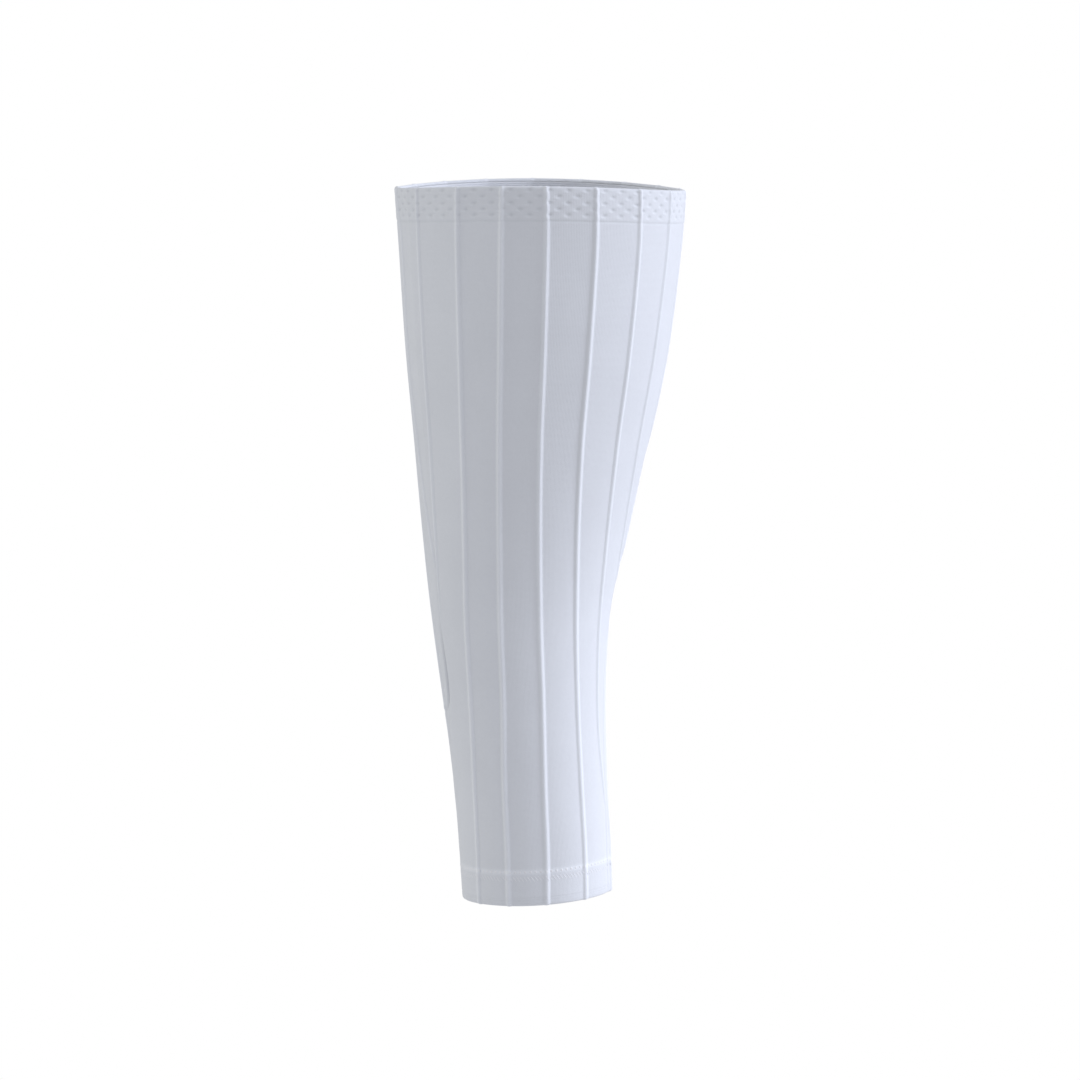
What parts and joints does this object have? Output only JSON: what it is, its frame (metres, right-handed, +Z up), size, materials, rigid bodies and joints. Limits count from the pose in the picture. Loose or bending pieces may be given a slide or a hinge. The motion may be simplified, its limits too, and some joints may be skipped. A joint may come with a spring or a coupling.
{
  "type": "calf compression sleeve",
  "caption": "Tapered compression sleeve for the calf in white ribbed knit, open at both ends, with an inner grip band at the top and a turned-up hem at the ankle.",
  "frame": {"origin": "centre of the grip band's ring at the top of the sleeve, where the sleeve holds on to the leg below the knee", "axes": "+Z up the leg, +X towards the calf, -X towards the shin, -Y towards the side of the leg that the picture shows"},
  "size_m": [0.1311, 0.1216, 0.3233],
  "materials": {
    "rib_knit": "fine matt elastic knit, white with a cool cast, with raised ribs",
    "grip_elastic": "soft elastic band with small clear silicone grip dots on its inner face",
    "hem_knit": "fine matt elastic knit, turned up and stitched",
    "seam_thread": "overlocked seam allowance in soft white thread"
  },
  "bodies": {
    "root": {"outer_leg_panel": "rib_knit", "inner_leg_panel": "rib_knit", "grip_band": "grip_elastic", "ankle_hem": "hem_knit", "shin_seam": "seam_thread", "calf_seam": "seam_thread"}
  },
  "joints": []
}
